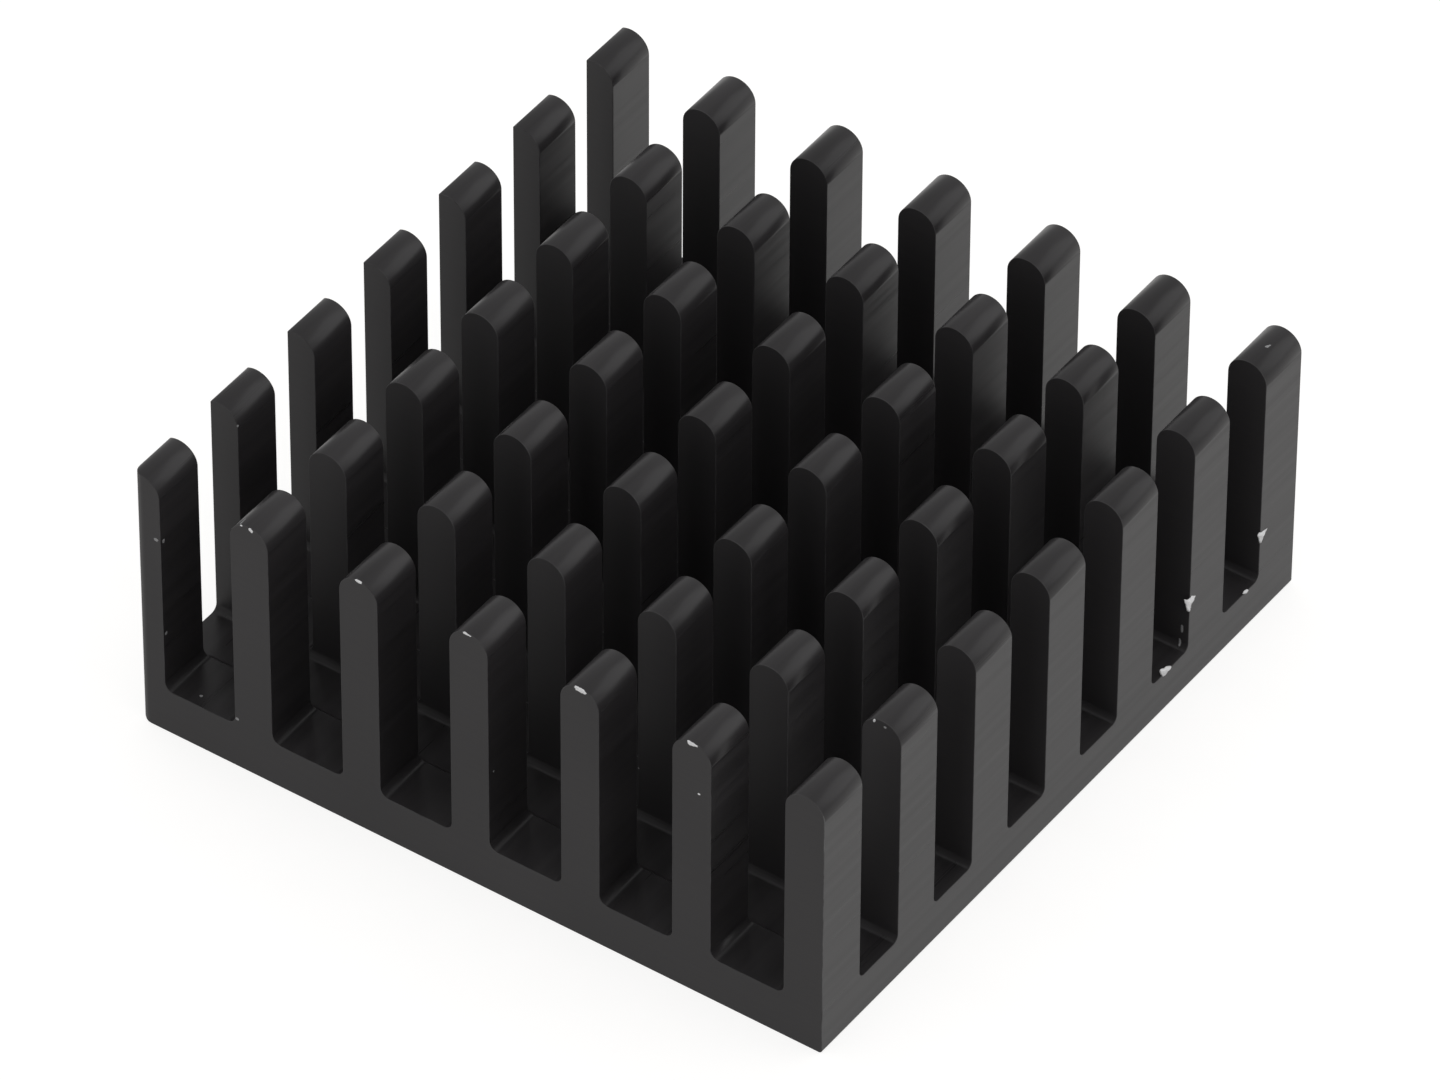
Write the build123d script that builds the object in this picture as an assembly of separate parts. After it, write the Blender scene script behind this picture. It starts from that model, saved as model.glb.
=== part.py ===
"""Pin fin heat sink for a chip: one piece of black anodised aluminium, millimetres.

It is made the way the real one is. A comb of fins is extruded along Y, each fin with a
full-radius top. The comb is then cross-cut along X by a gang of saw blades, which leaves a
grid of rectangular pins with arched tops on a thin base. The first fin is trimmed lengthwise,
so its pins are thinner than the rest and have a sharp outer top edge instead of a shoulder.

Frame: the underside lies on Z = 0 with its centre at the origin. X runs across the fins and
Y along them. The trimmed fin is on the -X side.
"""

from build123d import *

import os

# ---- fins, across X ----
FIN_COUNT = 7
FIN_THICKNESS = 1.4
CHANNEL_WIDTH = 2.64       # clear gap between two fins
FIN_HEIGHT = 8.4           # from the channel floor to the crest of the arch
FIRST_FIN_TRIM = 0.50      # taken off the outer side of the first fin
CHANNEL_ROOT_RADIUS = 0.3  # at the foot of each fin, along the channel

# ---- saw cuts, across Y ----
CUT_COUNT = 6
CUT_WIDTH = 2.0
PIN_LENGTH = 1.9           # of the pins between two cuts
END_PIN_LENGTH = 1.95      # of the pins at the two ends of the extrusion
CUT_INTO_BASE = 0.15       # how far the blades run below the channel floor
CUT_CORNER_RADIUS = 0.25   # rounded corners that the blades leave at the pins' feet

# ---- base ----
BASE_THICKNESS = 1.7
LEFT_EDGE_RADIUS = 0.33    # the long lower edge on the -X side, below the trimmed fin
RIGHT_EDGE_RADIUS = 0.12   # the long lower edge on the +X side, which is nearly sharp

# ---- worked out from the sizes above ----
TIP_RADIUS = FIN_THICKNESS / 2
FIN_PITCH = FIN_THICKNESS + CHANNEL_WIDTH
CUT_PITCH = CUT_WIDTH + PIN_LENGTH
BASE_WIDTH = FIN_COUNT * FIN_PITCH - CHANNEL_WIDTH - FIRST_FIN_TRIM
BASE_LENGTH = CUT_COUNT * CUT_PITCH - PIN_LENGTH + 2 * END_PIN_LENGTH
OVERALL_HEIGHT = BASE_THICKNESS + FIN_HEIGHT
LEFT_SIDE = -BASE_WIDTH / 2
RIGHT_SIDE = BASE_WIDTH / 2
NEARLY = 1e-4              # tolerance for picking a profile's corners by place
FIN_CENTRES = [RIGHT_SIDE - TIP_RADIUS - FIN_PITCH * steps for steps in range(FIN_COUNT)]
CUT_CENTRES = [CUT_PITCH * (index - (CUT_COUNT - 1) / 2) for index in range(CUT_COUNT)]


def comb_profile():
    """The extrusion's section in XZ: the base, the round-topped fins and the channel roots.

    Inside a sketch the plane's own axes are called X and Y, so a height is a Y here.
    """
    with BuildSketch(Plane.XZ) as profile:
        Rectangle(BASE_WIDTH, BASE_THICKNESS, align=(Align.CENTER, Align.MIN))
        for side, radius in ((0, LEFT_EDGE_RADIUS), (-1, RIGHT_EDGE_RADIUS)):
            lower_corners = profile.vertices().group_by(Axis.Y)[0].sort_by(Axis.X)
            fillet(lower_corners[side], radius)
        with Locations([(centre, BASE_THICKNESS) for centre in FIN_CENTRES]):
            Rectangle(FIN_THICKNESS, FIN_HEIGHT - TIP_RADIUS, align=(Align.CENTER, Align.MIN))
        with Locations([(centre, OVERALL_HEIGHT - TIP_RADIUS) for centre in FIN_CENTRES]):
            Circle(TIP_RADIUS)
        # the trimmed side is flush from the underside to the top
        with Locations((LEFT_SIDE, 0)):
            Rectangle(
                FIN_THICKNESS, OVERALL_HEIGHT, align=(Align.MAX, Align.MIN), mode=Mode.SUBTRACT
            )
        feet = profile.vertices().filter_by_position(
            Axis.Y, BASE_THICKNESS - NEARLY, BASE_THICKNESS + NEARLY
        )
        channel_roots = feet.filter_by_position(Axis.X, LEFT_SIDE + NEARLY, RIGHT_SIDE - NEARLY)
        fillet(channel_roots, CHANNEL_ROOT_RADIUS)
    return profile.sketch


def cut_profile():
    """The saw cuts' section in YZ: one slot for each blade, open at the top."""
    floor = BASE_THICKNESS - CUT_INTO_BASE
    with BuildSketch(Plane.YZ) as profile:
        with Locations([(centre, floor) for centre in CUT_CENTRES]):
            Rectangle(CUT_WIDTH, OVERALL_HEIGHT, align=(Align.CENTER, Align.MIN))
        fillet(profile.vertices().group_by(Axis.Y)[0], CUT_CORNER_RADIUS)
    return profile.sketch


def heat_sink():
    """The comb extruded along Y, with the saw cuts taken across it."""
    comb = extrude(comb_profile(), amount=BASE_LENGTH / 2, both=True)
    cuts = extrude(cut_profile(), amount=BASE_WIDTH, both=True)
    return comb - cuts


def main():
    body = heat_sink()
    os.makedirs("parts", exist_ok=True)
    export_step(body, "parts/heat_sink.step")
    print(f"heat_sink: {BASE_WIDTH:.2f} x {BASE_LENGTH:.2f} x {OVERALL_HEIGHT:.2f} mm")
    print(f"solids {len(body.solids())}, faces {len(body.faces())}, volume {body.volume:.1f} mm3")


main()
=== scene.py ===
"""Looks for a pin fin heat sink of black anodised aluminium, laid out as an add-on.

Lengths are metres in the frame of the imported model: the underside lies on z = 0 with its
centre at the origin, x runs across the extruded fins and y along them.
"""

import math
import random

import bmesh
import bpy
from mathutils import Matrix, Vector
from mathutils.bvhtree import BVHTree


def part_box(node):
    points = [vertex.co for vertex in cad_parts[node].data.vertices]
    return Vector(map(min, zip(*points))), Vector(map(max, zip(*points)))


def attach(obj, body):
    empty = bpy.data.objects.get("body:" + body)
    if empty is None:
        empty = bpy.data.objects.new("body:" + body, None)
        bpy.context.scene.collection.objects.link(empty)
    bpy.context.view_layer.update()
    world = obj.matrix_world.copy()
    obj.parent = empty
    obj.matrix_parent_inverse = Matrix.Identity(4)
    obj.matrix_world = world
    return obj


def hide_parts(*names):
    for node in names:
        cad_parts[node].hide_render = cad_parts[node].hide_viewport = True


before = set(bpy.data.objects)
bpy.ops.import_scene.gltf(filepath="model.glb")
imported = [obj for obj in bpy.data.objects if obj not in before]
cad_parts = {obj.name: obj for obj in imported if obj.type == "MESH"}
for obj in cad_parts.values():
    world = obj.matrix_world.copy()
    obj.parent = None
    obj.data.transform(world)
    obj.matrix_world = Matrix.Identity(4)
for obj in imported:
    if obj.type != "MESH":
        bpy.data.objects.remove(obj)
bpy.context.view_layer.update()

LOW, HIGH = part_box("heat_sink")

bl_info = {
    "name": "Pin Fin Heat Sink",
    "version": (1, 0, 0),
    "blender": (4, 5, 0),
    "location": "View3D > Sidebar > Heat Sink",
    "description": "Builds a cross-cut heat sink, its anodised finish and a plain stage",
    "category": "Add Mesh",
}

MM = 0.001
X, Y, Z = (1, 0, 0), (0, 1, 0), (0, 0, 1)

# The comb: into how many flats each kind of rounding is divided.
BASE_EDGE_STEPS = 8
ROOT_STEPS = 6
CUT_CORNER_STEPS = 5
WORN_CORNER_STEPS = 6
OVERSHOOT = 1 * MM             # how far the saw bars run past the comb

# Its broken edges.
WELD = 0.0005 * MM             # points nearer than this become one
SHARP = math.radians(35)       # a crease steeper than this is an edge, a flatter one a curve
EDGE_SEGMENTS = 2
MARGIN = 0.05 * MM             # how near the part's sides an edge counts as its outer corner
CORNER_HIGHLIGHT_AND_WEAR, EDGE_HIGHLIGHT_AND_WEAR = 1.0, 0.3   # how far the outer corners and other edges are rubbed thin, and how much painted highlight they carry

# Its nicks, burrs and scuffs, which are patches of a few rings of points.
PATCH_RINGS = 4
SINK = 0.012                   # how deep a patch's rim is sunk, in millimetres
RAGGED = 0.92, 1.08            # the least and the most that a point of the outline is stretched
UNEVEN = 0.6, 1.3              # the same for how far a point stands up
# the steps to each side at which a face's direction is read and evened out
PROBES = [Vector(step) * 0.05 * MM
          for step in ((1, 0, 0), (-1, 0, 0), (0, 1, 0), (0, -1, 0), (0, 0, 1), (0, 0, -1))]

# Outlines of nicks: points along the nick and across it, stretched to its length and width.
OVAL = [(0.5, 0.08), (0.36, 0.42), (0.0, 0.5), (-0.34, 0.4), (-0.5, 0.0), (-0.38, -0.38),
        (-0.04, -0.5), (0.34, -0.4)]
TAPER = [(0.5, 0.04), (0.18, 0.24), (-0.14, 0.36), (-0.36, 0.5), (-0.5, 0.2), (-0.46, -0.36),
         (-0.28, -0.5), (0.06, -0.36), (0.44, -0.28)]
SLAB = [(0.44, 0.1), (0.3, 0.34), (-0.2, 0.5), (-0.46, 0.4), (-0.5, -0.1), (-0.3, -0.42),
        (0.1, -0.5), (0.42, -0.44), (0.5, -0.2)]

# Outlines of the burrs that the saw tore off the last fin's outer face, seen square on:
# millimetres towards the back and up.
WEDGE = [(0.35, 0.07), (0.14, -0.01), (0.11, -0.13), (0.06, -0.22), (0.0, -0.33), (-0.08, -0.25),
         (-0.13, -0.05), (-0.20, 0.11), (-0.21, 0.20), (-0.10, 0.20), (0.08, 0.14)]
CHIP = [(-0.22, 0.07), (-0.11, 0.12), (0.06, 0.08), (0.21, -0.06), (0.13, -0.10), (0.04, -0.12),
        (-0.10, -0.03)]
FORK = [(0.35, 0.03), (0.28, -0.08), (0.14, -0.11), (0.07, -0.19), (0.01, -0.27), (0.03, -0.42),
        (-0.13, -0.29), (-0.20, -0.02), (-0.25, 0.16), (-0.29, 0.33), (-0.14, 0.21),
        (-0.01, 0.16), (0.10, 0.22)]
CURL = [(-0.34, 0.22), (-0.25, 0.26), (-0.08, 0.15), (0.03, 0.15), (0.17, 0.07), (0.37, -0.11),
        (0.31, -0.17), (0.17, -0.11), (0.07, -0.13), (-0.04, -0.20), (-0.15, -0.15),
        (-0.24, 0.01)]

# Where the skin has been knocked or rubbed off: the fin from the -x side, the place from the
# fin's middle, the front face and the underside, the direction, the outline, its length and
# width, and how far it stands up, all in millimetres. The front row's crests are rubbed bare
# where the bar was cut off.
BARE_NICKS = (
    (2, (0.09, 0.00, 10.03), (1, 0, -0.6), SLAB, 0.27, 0.21, 0.012),
    (2, (-0.27, 0.00, 10.04), X, SLAB, 0.16, 0.13, 0.010),
    (3, (0.03, 0.00, 10.07), (1, 0, -0.1), OVAL, 0.42, 0.19, 0.012),
    (4, (-0.03, 0.00, 10.06), (1, 0, -0.1), TAPER, 0.46, 0.18, 0.012),
    (5, (0.02, 0.00, 10.04), (1, 0, -0.05), SLAB, 0.66, 0.34, 0.014),
    (6, (0.04, 0.00, 10.04), (1, 0, 0.05), TAPER, 0.58, 0.30, 0.014),
    (6, (0.27, 0.00, 8.14), X, OVAL, 0.15, 0.11, 0.010),
    (7, (-0.27, 3.95, 9.98), (0.4, 0, 1), OVAL, 0.24, 0.12, 0.012),
)
# The burrs are flat tongues that overhang the edge: the fin, the place, the direction that
# the outline's first number follows, the outline, its two scales and how far it stands up.
BURRS = (
    (7, (0.70, 23.51, 3.32), Y, WEDGE, 1, 1, 0.06),
    (7, (0.70, 22.75, 1.56), Y, CHIP, 0.85, 0.85, 0.04),
    (7, (0.70, 19.54, 3.53), Y, FORK, 1, 1, 0.06),
    (7, (0.70, 18.32, 1.63), Y, CURL, 1, 1, 0.06),
)
# The scuffs are given as the nicks are. Their skin is rubbed thin but not through.
SCUFFS = (
    (1, (0.54, 0.00, 7.76), X, OVAL, 0.28, 0.21, 0.008),
    (1, (0.70, 0.16, 7.68), Z, OVAL, 0.28, 0.20, 0.008),
    (1, (0.70, 0.14, 3.94), Z, OVAL, 0.22, 0.20, 0.008),
    (1, (0.68, 3.98, 9.52), Z, OVAL, 0.14, 0.12, 0.008),
    # This streak along the second fin's left shoulder is partly a scuff and partly a painted
    # highlight on the arch's rim.
    (2, (-0.36, 0.22, 10.00), Y, TAPER, 0.54, 0.12, 0.006),
    (2, (-0.62, 0.00, 1.96), X, OVAL, 0.24, 0.17, 0.008),
    (2, (-2.29, 0.41, 1.70), X, OVAL, 0.17, 0.16, 0.008),
    (4, (0.70, 0.26, 4.70), Z, OVAL, 0.12, 0.10, 0.008),
    (5, (-0.67, 3.95, 3.45), Z, OVAL, 0.12, 0.10, 0.008),
    (7, (0.11, 3.95, 9.90), X, OVAL, 0.16, 0.13, 0.010),
    (7, (0.10, 24.42, 10.09), (0.3, 1, 0), TAPER, 0.34, 0.17, 0.008),
    (7, (0.46, 19.55, 2.31), Z, OVAL, 0.60, 0.15, 0.008),
    (7, (0.41, 19.55, 1.72), (-0.1, 0, 1), OVAL, 0.58, 0.14, 0.008),
)


# ---------------------------------------------------------------- sizes and colours


def length(name, description, default):
    """A size in metres that the sidebar shows."""
    return bpy.props.FloatProperty(
        name=name, description=description, default=default, min=0.0,
        precision=5, subtype="DISTANCE", unit="LENGTH",
    )


def colour(name, description, default):
    """A colour that the sidebar shows, in linear values."""
    return bpy.props.FloatVectorProperty(
        name=name, description=description, default=default, size=3,
        min=0.0, max=1.0, subtype="COLOR",
    )


def share(name, description, default):
    """A plain number from 0 to 1."""
    return bpy.props.FloatProperty(
        name=name, description=description, default=default, min=0.0, max=1.0,
        subtype="FACTOR",
    )


class HeatSinkBody(bpy.types.PropertyGroup):
    """Sizes of the extruded comb, of the saw cuts across it and of its broken edges."""

    fin_count: bpy.props.IntProperty(
        name="Fins", description="Fins across the comb", default=7, min=2)
    fin_thickness: length("Fin thickness", "Across a whole fin", 1.4 * MM)
    channel_width: length("Channel", "Clear gap between two fins", 2.64 * MM)
    root_radius: length("Root radius", "Fillet at the foot of a fin", 0.3 * MM)
    base_thickness: length("Base", "From the underside to the channel floor", 1.7 * MM)
    trim_slack: length("Trim slack", "How far the trimmed side stands past the box", 0.12 * MM)
    front_corner: length("Front corner", "Rounding of the trimmed side's front end", 0.43 * MM)
    left_edge_radius: length("Left base edge", "Long lower edge on the -x side", 0.33 * MM)
    right_edge_radius: length("Right base edge", "Long lower edge on the +x side", 0.12 * MM)
    cut_count: bpy.props.IntProperty(
        name="Cuts", description="Saw cuts across the fins", default=6, min=1)
    cut_width: length("Cut", "Width of one saw cut", 2.0 * MM)
    cut_pitch: length("Cut pitch", "From one saw cut to the next", 3.9 * MM)
    cut_into_base: length("Cut into base", "Below the channel floor", 0.15 * MM)
    cut_corner_radius: length("Cut corners", "Radius at the foot of a cut", 0.25 * MM)
    edge_break: length("Edge break", "Rounding of the sharp edges", 0.02 * MM)
    arch_steps: bpy.props.IntProperty(
        name="Arch steps", description="Flats round one arched top", default=24, min=8)


class HeatSinkFinish(bpy.types.PropertyGroup):
    """Colours and textures of the anodised skin and of the metal under it."""

    skin: colour("Skin", "Dyed anodised layer", (0.0165, 0.0153, 0.0161))
    faded: colour("Faded skin", "The layer where the dye took less", (0.0300, 0.0279, 0.0292))
    # This worn skin's colour is also the painted highlight on the broken edges.
    wear_and_highlight: colour("Worn skin", "The layer where an edge has rubbed thin", (0.12, 0.12, 0.122))
    metal: colour("Metal", "Bare aluminium", (0.91, 0.91, 0.92))
    roughness: share("Roughness", "Of the drawn faces", 0.27)
    sawn_roughness: share("Sawn roughness", "Of the faces that the saw left", 0.5)
    streaks: share("Streaks", "How much the die lines show", 0.6)


class HeatSinkStage(bpy.types.PropertyGroup):
    """The floor, the light and the camera."""

    floor: colour("Floor", "Plain pale floor", (0.33, 0.323, 0.312))
    camera_azimuth: bpy.props.FloatProperty(
        name="Azimuth", description="Round from the -y side", subtype="ANGLE",
        default=math.radians(34.862))
    camera_elevation: bpy.props.FloatProperty(
        name="Elevation", description="Above the floor", subtype="ANGLE",
        default=math.radians(42.262))
    camera_roll: bpy.props.FloatProperty(
        name="Roll", description="About the line of sight", subtype="ANGLE",
        default=math.radians(0.307))
    camera_distance: length("Distance", "From the point aimed at", 399.03 * MM)
    camera_aim: bpy.props.FloatVectorProperty(
        name="Aim", description="The point in the middle of the picture", size=3,
        subtype="XYZ", precision=5, default=(0.249 * MM, -0.426 * MM, 5.0 * MM))
    camera_lens: bpy.props.FloatProperty(
        name="Lens", description="Focal length in millimetres", default=328.82, min=1.0)


# ---------------------------------------------------------------- small helpers


def arc(centre, radius, start, end, steps):
    """Points on an arc in a plane, both ends included. Angles are in degrees."""
    points = []
    for step in range(steps + 1):
        angle = math.radians(start + (end - start) * step / steps)
        points.append((centre[0] + radius * math.cos(angle),
                       centre[1] + radius * math.sin(angle)))
    return points


def prism(mesh, outline, place, near, far):
    """A closed prism of an outline between two distances; place makes the 3-D points."""
    rings = [[mesh.verts.new(place(a, b, d)) for a, b in outline] for d in (near, far)]
    mesh.faces.new(rings[0])
    mesh.faces.new(reversed(rings[1]))
    for index in range(len(outline)):
        after = (index + 1) % len(outline)
        mesh.faces.new((rings[0][after], rings[0][index], rings[1][index], rings[1][after]))


def finished_object(name, mesh):
    """The bmesh as an object of the scene, its faces turned outwards."""
    bmesh.ops.recalc_face_normals(mesh, faces=mesh.faces)
    data = bpy.data.meshes.new(name)
    mesh.to_mesh(data)
    mesh.free()
    made = bpy.data.objects.new(name, data)
    bpy.context.scene.collection.objects.link(made)
    return made


# ---------------------------------------------------------------- the body


def fin_centre(body, number):
    """The x of a fin's middle. Fins are numbered from the -x side, from 1."""
    steps = body.fin_count - number
    return HIGH.x - body.fin_thickness / 2 - steps * (body.fin_thickness + body.channel_width)


def comb_outline(body):
    """Section of the extrusion in xz, anticlockwise: base, round-topped fins and roots."""
    left, right, crest = LOW.x - body.trim_slack, HIGH.x, HIGH.z
    tip = body.fin_thickness / 2
    root, floor = body.root_radius, body.base_thickness
    soft, crisp = body.left_edge_radius, body.right_edge_radius
    points = arc((left + soft, soft), soft, 180, 270, BASE_EDGE_STEPS)
    points += arc((right - crisp, crisp), crisp, 270, 360, BASE_EDGE_STEPS)
    for fin in range(body.fin_count, 0, -1):
        centre = fin_centre(body, fin)
        trimmed = fin == 1
        if fin < body.fin_count:
            points += arc((centre + tip + root, floor + root), root, 270, 180, ROOT_STEPS)
        # the first fin is trimmed flush with the side of the base, part way round its arch
        end = math.degrees(math.acos((left - centre) / tip)) if trimmed else 180
        points += arc((centre, crest - tip), tip, 0, end, body.arch_steps)
        if not trimmed:
            points += arc((centre - tip - root, floor + root), root, 0, -90, ROOT_STEPS)
    return points


def saw_outline(body, centre):
    """Section of one saw cut in yz, with rounded lower corners and open above the crest."""
    half, corner = body.cut_width / 2, body.cut_corner_radius
    floor = body.base_thickness - body.cut_into_base
    top, steps = HIGH.z + OVERSHOOT, CUT_CORNER_STEPS
    points = arc((centre - half + corner, floor + corner), corner, 180, 270, steps)
    points += arc((centre + half - corner, floor + corner), corner, 270, 360, steps)
    return points + [(centre + half, top), (centre - half, top)]


def corner_outline(body):
    """What wear has taken off the upright front corner of the trimmed side, in xy."""
    left, front, radius = LOW.x - body.trim_slack, LOW.y, body.front_corner
    points = arc((left + radius, front + radius), radius, 180, 270, WORN_CORNER_STEPS)
    return points + [(left + radius, front - OVERSHOOT), (left - OVERSHOOT, front - OVERSHOOT),
                     (left - OVERSHOOT, front + radius)]


def cut_comb(body):
    """The comb, extruded along y, with the saw cuts and the worn corner taken off it."""
    comb = bmesh.new()
    prism(comb, comb_outline(body), lambda x, z, y: (x, y, z), LOW.y, HIGH.y)
    comb = finished_object("pin_grid", comb)

    bars = bmesh.new()
    for cut in range(body.cut_count):
        centre = (cut - (body.cut_count - 1) / 2) * body.cut_pitch
        prism(bars, saw_outline(body, centre), lambda y, z, x: (x, y, z),
              LOW.x - OVERSHOOT, HIGH.x + OVERSHOOT)
    prism(bars, corner_outline(body), lambda x, y, z: (x, y, z),
          LOW.z - OVERSHOOT, HIGH.z + OVERSHOOT)
    bars = finished_object("saw_bars", bars)

    cutting = comb.modifiers.new("saw cuts", "BOOLEAN")
    cutting.operation, cutting.solver, cutting.object = "DIFFERENCE", "EXACT", bars
    evaluated = comb.evaluated_get(bpy.context.evaluated_depsgraph_get())
    comb.data = bpy.data.meshes.new_from_object(evaluated)
    comb.modifiers.clear()
    bpy.data.objects.remove(bars)
    return comb


def break_edges(grid, body):
    """Rounds every sharp outer edge, and marks the new faces as the ones that wear and carry a
    painted highlight.
    """
    mesh = bmesh.new()
    mesh.from_mesh(grid.data)
    bmesh.ops.remove_doubles(mesh, verts=mesh.verts, dist=WELD)
    sharp = [edge for edge in mesh.edges
             if edge.is_manifold and edge.calc_face_angle_signed() > SHARP]
    wear_and_highlight = mesh.faces.layers.float.new("worn_and_highlit_edge")
    rounded = bmesh.ops.bevel(
        mesh, geom=sharp, offset=body.edge_break, offset_type="OFFSET",
        segments=EDGE_SEGMENTS, profile=0.5, affect="EDGES", clamp_overlap=False,
        miter_outer="ARC",
    )
    # The broken edges are marked for rubbed-thin skin and a painted highlight, fully on the
    # outer corners.
    for face in rounded["faces"]:
        middle = face.calc_center_median()
        outer = abs(middle.x) > HIGH.x - MARGIN and abs(middle.y) > HIGH.y - MARGIN
        face[wear_and_highlight] = CORNER_HIGHLIGHT_AND_WEAR if outer else EDGE_HIGHLIGHT_AND_WEAR
    for face in mesh.faces:
        face.smooth = True
    mesh.to_mesh(grid.data)
    mesh.free()
    even = grid.modifiers.new("even shading", "WEIGHTED_NORMAL")
    even.mode, even.weight, even.keep_sharp = "FACE_AREA", 100, False


# ---------------------------------------------------------------- nicks and burrs


def facing_at(place, surface):
    """The way the surface faces round a place, evened out over an edge."""
    return sum((surface.find_nearest(place + step)[1] for step in PROBES), Vector()).normalized()


def ragged(outline, long, wide, rng):
    """The outline at its real size, with one more point in each side and a rough edge."""
    points = []
    for (u, v), (next_u, next_v) in zip(outline, outline[1:] + outline[:1]):
        for step in (0.0, 0.5):
            stretch = rng.uniform(*RAGGED)
            points.append(((u + (next_u - u) * step) * long * stretch,
                           (v + (next_v - v) * step) * wide * stretch))
    return points


def add_patch(mesh, nick, body, surface, flat, rng):
    """A small ragged island of torn metal, sunk at its rim.

    It follows the surface, or is a flat tongue on the outer face and beyond the face's edge.
    """
    fin, (across, back, height), along, outline, long, wide, lift = nick
    place = Vector((fin_centre(body, fin) + across * MM, LOW.y + back * MM, height * MM))
    normal = Vector(X) if flat else facing_at(place, surface)
    side = normal.cross(Vector(along)).normalized()
    run = side.cross(normal)
    rim = ragged(outline, long, wide, rng)
    centre_u = sum(u for u, v in rim) / len(rim)
    centre_v = sum(v for u, v in rim) / len(rim)

    def on_surface(u, v):
        spot = place + (run * u + side * v) * MM
        return (spot, normal) if flat else surface.find_nearest(spot)[:2]

    rings = []
    for ring in range(1, PATCH_RINGS + 1):
        reach = ring / PATCH_RINGS
        points = []
        for u, v in rim:
            spot, facing = on_surface(centre_u + (u - centre_u) * reach,
                                      centre_v + (v - centre_v) * reach)
            rise = lift * (1 - reach ** 2) * rng.uniform(*UNEVEN) - SINK * reach ** 2
            points.append(mesh.verts.new(spot + (facing + normal) / 2 * rise * MM))
        rings.append(points)
    spot = on_surface(centre_u, centre_v)[0]
    top = mesh.verts.new(spot + normal * lift * MM)
    under = mesh.verts.new(spot - normal * 3 * SINK * MM)
    for index in range(len(rim)):
        after = (index + 1) % len(rim)
        mesh.faces.new((top, rings[0][index], rings[0][after]))
        mesh.faces.new((under, rings[-1][after], rings[-1][index]))
        for inner, outer in zip(rings, rings[1:]):
            mesh.faces.new((inner[index], outer[index], outer[after], inner[after]))


def add_patches(name, nicks, body, surface, flat, seed):
    """One object that holds all the patches of a kind."""
    rng = random.Random(seed)
    mesh = bmesh.new()
    for nick in nicks:
        add_patch(mesh, nick, body, surface, flat, rng)
    patches = finished_object(name, mesh)
    for polygon in patches.data.polygons:
        polygon.use_smooth = True
    return patches


# ---------------------------------------------------------------- finishes


class Nodes:
    """Short calls for building one node tree."""

    def __init__(self, tree):
        self.tree = tree
        tree.nodes.clear()

    def add(self, kind, inputs=None, **settings):
        node = self.tree.nodes.new(kind)
        for name, value in settings.items():
            setattr(node, name, value)
        for name, value in (inputs or {}).items():
            if isinstance(value, bpy.types.NodeSocket):
                self.tree.links.new(value, node.inputs[name])
            else:
                node.inputs[name].default_value = value
        return node

    def math(self, operation, first, second=0.0, third=0.0):
        inputs = {0: first, 1: second}
        if operation == "MULTIPLY_ADD":
            inputs[2] = third
        return self.add("ShaderNodeMath", inputs, operation=operation).outputs[0]

    def blend(self, factor, first, second):
        """Mixes two colours."""
        node = self.add("ShaderNodeMix", data_type="RGBA")
        for socket, value in zip((node.inputs[0], node.inputs[6], node.inputs[7]),
                                 (factor, first, second)):
            if isinstance(value, bpy.types.NodeSocket):
                self.tree.links.new(value, socket)
            else:
                socket.default_value = value
        return node.outputs[2]


def new_material(name):
    """An empty material and the calls that fill it."""
    material = bpy.data.materials.new(name)
    material.use_nodes = True
    return material, Nodes(material.node_tree)


# The skin's relief: how high the die's fine lines and the etching stand, where its broad
# waves count as 1, and how strongly all of it shows.
DIE_LINE_HEIGHT = 0.12
ETCH_HEIGHT = 0.05
RELIEF_STRENGTH, RELIEF_DEPTH = 0.3, 0.02 * MM
SAW_MARK_SPAN, SAW_MARK_LEAST = 0.25, 0.35   # how the saw marks show, from 0 to 1
STREAK_ROUGHNESS = 0.1         # how much rougher the strongest streak is
SQUARE_TO_Y = 0.6              # a face whose normal has more of y than this was sawn
NOISE_LEAST, NOISE_MOST = 0.3, 0.7   # the noise between these is stretched over 0 to 1
SKIN_IOR = 1.4


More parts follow.
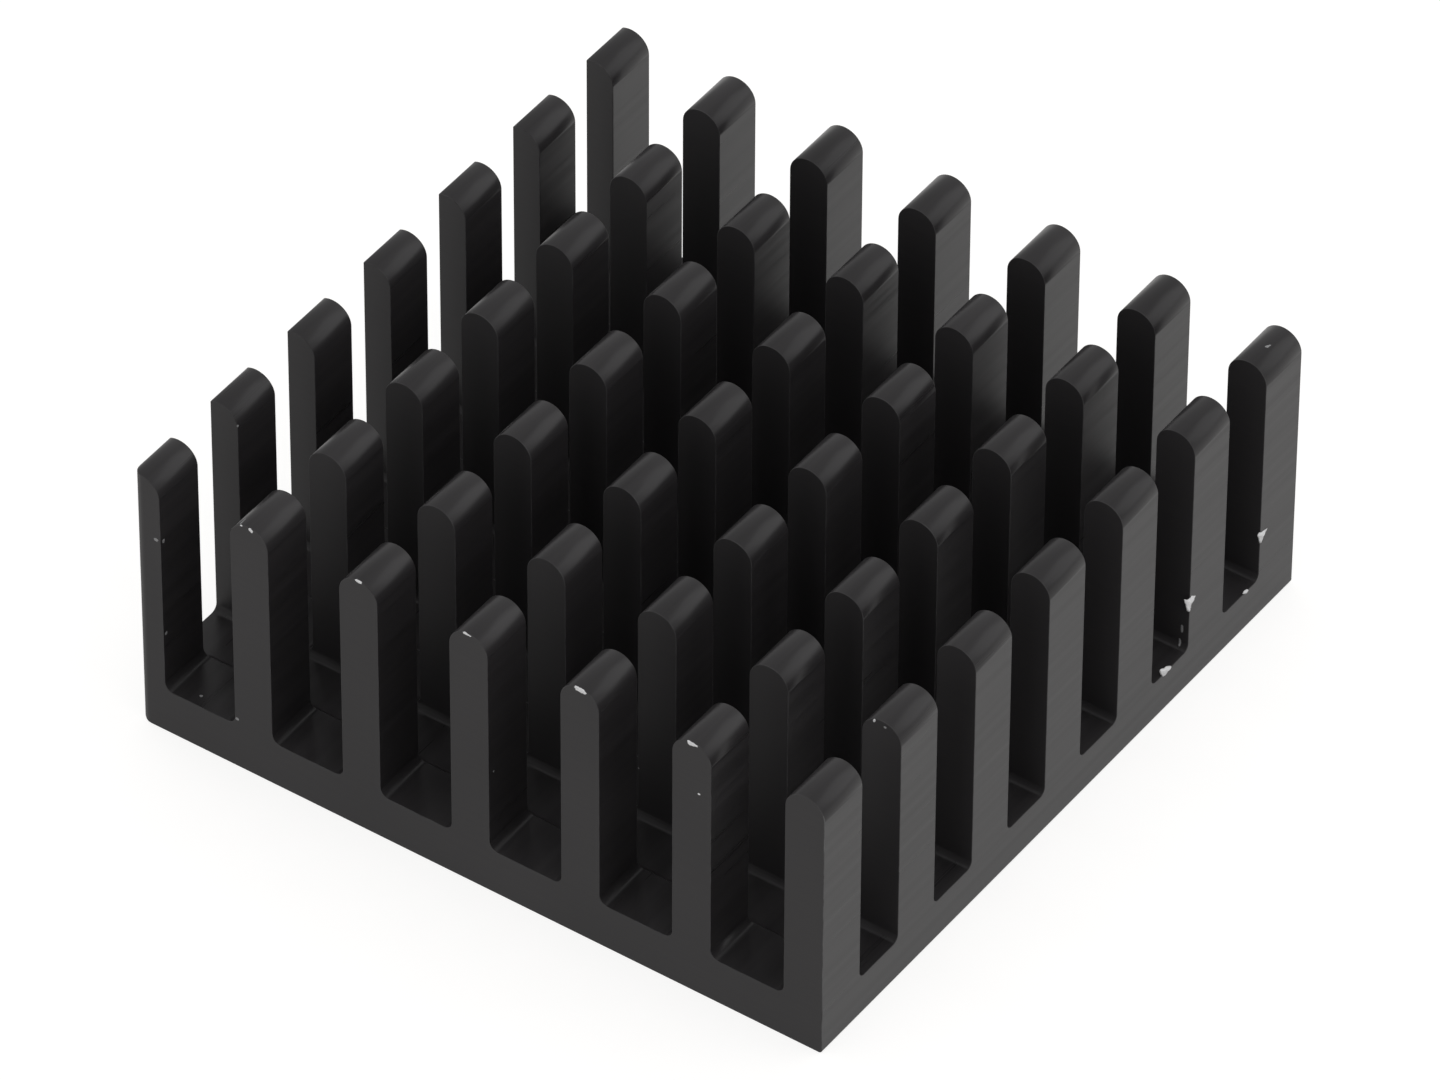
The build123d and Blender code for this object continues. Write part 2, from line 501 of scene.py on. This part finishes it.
def anodised_skin(finish):
    """Black anodised aluminium: die lines along the fins, saw marks across the cut faces."""
    material, nodes = new_material("black_anodised_aluminium")
    place = nodes.add("ShaderNodeTexCoord").outputs["Object"]
    facing = nodes.add("ShaderNodeNewGeometry").outputs["Normal"]
    across = nodes.add("ShaderNodeSeparateXYZ", {0: facing}).outputs["Y"]
    sawn = nodes.math("GREATER_THAN", nodes.math("ABSOLUTE", across), SQUARE_TO_Y)

    def grain(scale, detail):
        """Noise at so many features a millimetre along x, y and z."""
        mapped = nodes.add("ShaderNodeMapping", {
            "Vector": place, "Scale": [value / MM for value in scale]})
        noise = nodes.add("ShaderNodeTexNoise", {
            "Vector": mapped.outputs[0], "Scale": 1.0, "Detail": detail,
            "Roughness": 0.55}).outputs["Fac"]
        return nodes.add("ShaderNodeMapRange", {
            "Value": noise, "From Min": NOISE_LEAST, "From Max": NOISE_MOST,
        }).outputs["Result"]

    die_lines = grain((2.6, 0.06, 2.6), 3.0)
    waves = grain((1.8, 0.03, 1.8), 1.0)
    blade = grain((0.25, 1.0, 5.0), 2.0)
    saw_marks = nodes.math("MULTIPLY_ADD", blade, SAW_MARK_SPAN, SAW_MARK_LEAST)
    etch = grain((14.0, 14.0, 14.0), 2.0)
    cloud = grain((0.16, 0.16, 0.16), 1.0)
    rub = grain((1.6, 1.6, 1.6), 2.0)
    lines = nodes.add("ShaderNodeMix", {0: sawn, 2: die_lines, 3: saw_marks}).outputs[0]

    streak = nodes.math("MULTIPLY", lines, finish.streaks)
    tone = nodes.math("MULTIPLY_ADD", cloud, 1.0 - finish.streaks, streak)
    base = nodes.blend(tone, (*finish.skin, 1), (*finish.faded, 1))
    # The broken edges turn paler here: rubbed-thin skin and a painted highlight, mottled by the
    # rub noise.
    edge = nodes.add("ShaderNodeAttribute", attribute_name="worn_and_highlit_edge").outputs["Fac"]
    rubbed = nodes.math("MULTIPLY", edge, rub)
    base = nodes.blend(rubbed, base, (*finish.wear_and_highlight, 1))

    plain = nodes.add("ShaderNodeMix", {
        0: sawn, 2: finish.roughness, 3: finish.sawn_roughness}).outputs[0]
    spread = nodes.math("MULTIPLY_ADD", lines, STREAK_ROUGHNESS * finish.streaks, plain)
    drawn = nodes.math("MULTIPLY_ADD", die_lines, DIE_LINE_HEIGHT, waves)
    level = nodes.add("ShaderNodeMix", {0: sawn, 2: drawn, 3: saw_marks}).outputs[0]
    height = nodes.math("MULTIPLY_ADD", etch, ETCH_HEIGHT, level)
    bump = nodes.add("ShaderNodeBump", {
        "Strength": RELIEF_STRENGTH, "Distance": RELIEF_DEPTH, "Height": height})
    shader = nodes.add("ShaderNodeBsdfPrincipled", {
        "Base Color": base, "Roughness": spread, "Normal": bump.outputs[0],
        "IOR": SKIN_IOR, "Metallic": 0.0})
    nodes.add("ShaderNodeOutputMaterial", {"Surface": shader.outputs[0]})
    return material


# The small spots of damage: how fine their mottling is, in features a millimetre, how
# metallic they look, and how dark and how pale the mottling gets.
TORN_GRAIN, RUB_GRAIN = 18.0, 20.0
SPOT_METALLIC = 0.3
METAL_DULL = 0.75              # of the bare metal's colour
SCUFF_DULL, SCUFF_PALE = 1.5, 3.2   # of the worn skin's colour


def mottling(nodes, features):
    """Noise with so many features a millimetre."""
    place = nodes.add("ShaderNodeTexCoord").outputs["Object"]
    return nodes.add("ShaderNodeTexNoise", {
        "Vector": place, "Scale": features / MM, "Detail": 2.0}).outputs["Fac"]


def scaled(tint, gain):
    """A colour made darker or paler, and opaque."""
    return (*(min(1.0, value * gain) for value in tint), 1)


def bare_metal(finish):
    """Freshly torn aluminium where the skin is missing."""
    material, nodes = new_material("bare_aluminium")
    torn = mottling(nodes, TORN_GRAIN)
    base = nodes.blend(torn, scaled(finish.metal, METAL_DULL), (*finish.metal, 1))
    bump = nodes.add("ShaderNodeBump", {
        "Strength": 0.4, "Distance": 0.01 * MM, "Height": torn})
    shader = nodes.add("ShaderNodeBsdfPrincipled", {
        "Base Color": base, "Normal": bump.outputs[0], "Metallic": SPOT_METALLIC,
        "Roughness": 0.5})
    nodes.add("ShaderNodeOutputMaterial", {"Surface": shader.outputs[0]})
    return material


def scuffed_skin(finish):
    """Skin that has been rubbed thin and dull, so that some grey shows through."""
    material, nodes = new_material("scuffed_skin")
    rub = mottling(nodes, RUB_GRAIN)
    base = nodes.blend(rub, scaled(finish.wear_and_highlight, SCUFF_DULL), scaled(finish.wear_and_highlight, SCUFF_PALE))
    shader = nodes.add("ShaderNodeBsdfPrincipled", {
        "Base Color": base, "Metallic": SPOT_METALLIC, "Roughness": 0.6})
    nodes.add("ShaderNodeOutputMaterial", {"Surface": shader.outputs[0]})
    return material


# ---------------------------------------------------------------- the stage


# Strengths, where 1 is white: of the light on matt surfaces, of the room that shiny ones
# mirror, and of the floor's own white as the camera and as shiny surfaces see it.
ROOM_LIGHT = 0.85
WALLS, CEILING = 0.55, 0.52
FLOOR_SEEN, FLOOR_MIRRORED = 0.78, 0.56
WALL_TOP = math.radians(1), math.radians(23)   # where the walls turn into the ceiling
FLOOR_REACH = 3.0              # from the middle to a side, in metres
LAMP_PLACE, LAMP_SIDE, LAMP_POWER = (0.353, 0.393, 0.31), 0.5, 0.5   # metres and watts
CAMERA_RANGE = 0.01, 20.0      # nearest and farthest that the camera shows, in metres


def shown_rays(nodes, camera, reflected):
    """One value for camera rays and one for glossy and transmission rays, else 0."""
    path = nodes.add("ShaderNodeLightPath").outputs
    bent = nodes.math("MAXIMUM", path["Is Glossy Ray"], path["Is Transmission Ray"])
    seen = nodes.math("MULTIPLY", path["Is Camera Ray"], camera)
    return nodes.math("MULTIPLY_ADD", bent, reflected, seen)


def floor_material(stage):
    """A pale floor that the camera sees as white and that still takes the shadow."""
    material, nodes = new_material("pale_floor")
    plain = nodes.add("ShaderNodeBsdfDiffuse", {"Color": (*stage.floor, 1)})
    glow = nodes.add("ShaderNodeEmission", {
        "Color": (1, 1, 1, 1), "Strength": shown_rays(nodes, FLOOR_SEEN, FLOOR_MIRRORED)})
    both = nodes.add("ShaderNodeAddShader", {0: plain.outputs[0], 1: glow.outputs[0]})
    nodes.add("ShaderNodeOutputMaterial", {"Surface": both.outputs[0]})
    return material


def studio_world():
    """White to the camera, plain soft light on matt surfaces, and in reflections a grey
    room whose ceiling is a little darker than its walls.
    """
    world = bpy.data.worlds.new("studio")
    bpy.context.scene.world = world
    world.use_nodes = True
    nodes = Nodes(world.node_tree)
    towards = nodes.add("ShaderNodeTexCoord").outputs["Generated"]
    rise = nodes.add("ShaderNodeSeparateXYZ", {0: towards}).outputs["Z"]
    ceiling = nodes.add("ShaderNodeMapRange", {
        "Value": rise, "From Min": math.sin(WALL_TOP[0]), "From Max": math.sin(WALL_TOP[1]),
    }).outputs["Result"]
    mirrored = nodes.math("MULTIPLY_ADD", ceiling, CEILING - WALLS, WALLS - ROOM_LIGHT)
    strength = nodes.math("ADD", shown_rays(nodes, 1.0 - ROOM_LIGHT, mirrored), ROOM_LIGHT)
    room = nodes.add("ShaderNodeBackground", {"Color": (1, 1, 1, 1), "Strength": strength})
    nodes.add("ShaderNodeOutputWorld", {"Surface": room.outputs[0]})


def lay_floor(stage):
    """A plain square floor under the part."""
    mesh = bmesh.new()
    bmesh.ops.create_grid(mesh, x_segments=8, y_segments=8, size=FLOOR_REACH)
    floor = finished_object("floor", mesh)
    floor.data.materials.append(floor_material(stage))


def hang_lamp():
    """A square area lamp that points at the middle of the object."""
    light = bpy.data.lights.new("key_lamp", "AREA")
    light.size, light.energy = LAMP_SIDE, LAMP_POWER
    lamp = bpy.data.objects.new("key_lamp", light)
    bpy.context.scene.collection.objects.link(lamp)
    lamp.location = LAMP_PLACE
    aim = (LOW + HIGH) / 2 - lamp.location
    lamp.rotation_euler = aim.to_track_quat("-Z", "Y").to_euler()


def set_camera(stage):
    """A camera that looks at the aim from the stage's angles and distance."""
    data = bpy.data.cameras.new("camera")
    data.lens = stage.camera_lens
    data.clip_start, data.clip_end = CAMERA_RANGE
    camera = bpy.data.objects.new("camera", data)
    bpy.context.scene.collection.objects.link(camera)
    turn, rise = stage.camera_azimuth, stage.camera_elevation
    back = Vector((math.sin(turn) * math.cos(rise), -math.cos(turn) * math.cos(rise),
                   math.sin(rise)))
    camera.location = Vector(stage.camera_aim) + back * stage.camera_distance
    look = (-back).to_track_quat("-Z", "Y").to_matrix()
    roll = Matrix.Rotation(stage.camera_roll, 3, "Z")
    camera.rotation_euler = (look @ roll).to_euler()
    bpy.context.scene.camera = camera


# ---------------------------------------------------------------- operators and panel


class HEATSINK_OT_body(bpy.types.Operator):
    """Build the comb of pins and give it its anodised skin"""

    bl_idname = "heatsink.body"
    bl_label = "Build body"

    def execute(self, context):
        body = context.scene.heat_sink_body
        grid = cut_comb(body)
        break_edges(grid, body)
        grid.data.materials.append(anodised_skin(context.scene.heat_sink_finish))
        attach(grid, "root")
        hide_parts("heat_sink")
        return {"FINISHED"}


class HEATSINK_OT_nicks(bpy.types.Operator):
    """Add the burrs and scuffs where bare metal or thin skin shows"""

    bl_idname = "heatsink.nicks"
    bl_label = "Add nicks"

    def execute(self, context):
        grid = bpy.data.objects.get("pin_grid")
        if grid is None:
            raise RuntimeError("build the body first: the nicks lie on its surface")
        body, finish = context.scene.heat_sink_body, context.scene.heat_sink_finish
        surface = BVHTree.FromObject(grid, context.evaluated_depsgraph_get())
        metal, scuffed = bare_metal(finish), scuffed_skin(finish)
        for name, nicks, material, flat, seed in (
                ("bare_metal_nicks", BARE_NICKS, metal, False, 5),
                ("bare_metal_burrs", BURRS, metal, True, 6),
                ("skin_scuffs", SCUFFS, scuffed, False, 8)):
            patches = add_patches(name, nicks, body, surface, flat, seed)
            patches.data.materials.append(material)
            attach(patches, "root")
        return {"FINISHED"}


class HEATSINK_OT_stage(bpy.types.Operator):
    """Lay the floor, light the object and set the camera"""

    bl_idname = "heatsink.stage"
    bl_label = "Set stage"

    def execute(self, context):
        stage = context.scene.heat_sink_stage
        context.scene.view_settings.view_transform = "Standard"
        studio_world()
        lay_floor(stage)
        hang_lamp()
        set_camera(stage)
        return {"FINISHED"}


class HEATSINK_PT_panel(bpy.types.Panel):
    """Sizes, colours and buttons in the sidebar of the 3D view"""

    bl_idname = "HEATSINK_PT_panel"
    bl_label = "Heat Sink"
    bl_space_type = "VIEW_3D"
    bl_region_type = "UI"
    bl_category = "Heat Sink"

    def draw(self, context):
        for title, operator, group in GROUPS:
            box = self.layout.box()
            box.label(text=title)
            settings = getattr(context.scene, group)
            for name in settings.__annotations__:
                box.prop(settings, name)
            box.operator(operator)


GROUPS = (
    ("Body", "heatsink.body", "heat_sink_body"),
    ("Finish and nicks", "heatsink.nicks", "heat_sink_finish"),
    ("Stage", "heatsink.stage", "heat_sink_stage"),
)
SETTINGS = {
    "heat_sink_body": HeatSinkBody,
    "heat_sink_finish": HeatSinkFinish,
    "heat_sink_stage": HeatSinkStage,
}
CLASSES = (
    HeatSinkBody, HeatSinkFinish, HeatSinkStage,
    HEATSINK_OT_body, HEATSINK_OT_nicks, HEATSINK_OT_stage, HEATSINK_PT_panel,
)


def register():
    for item in CLASSES:
        bpy.utils.register_class(item)
    for name, group in SETTINGS.items():
        setattr(bpy.types.Scene, name, bpy.props.PointerProperty(type=group))


def unregister():
    for name in SETTINGS:
        delattr(bpy.types.Scene, name)
    for item in reversed(CLASSES):
        bpy.utils.unregister_class(item)


def main():
    register()
    bpy.ops.heatsink.body()
    bpy.ops.heatsink.nicks()
    bpy.ops.heatsink.stage()


if __name__ == "__main__":
    main()
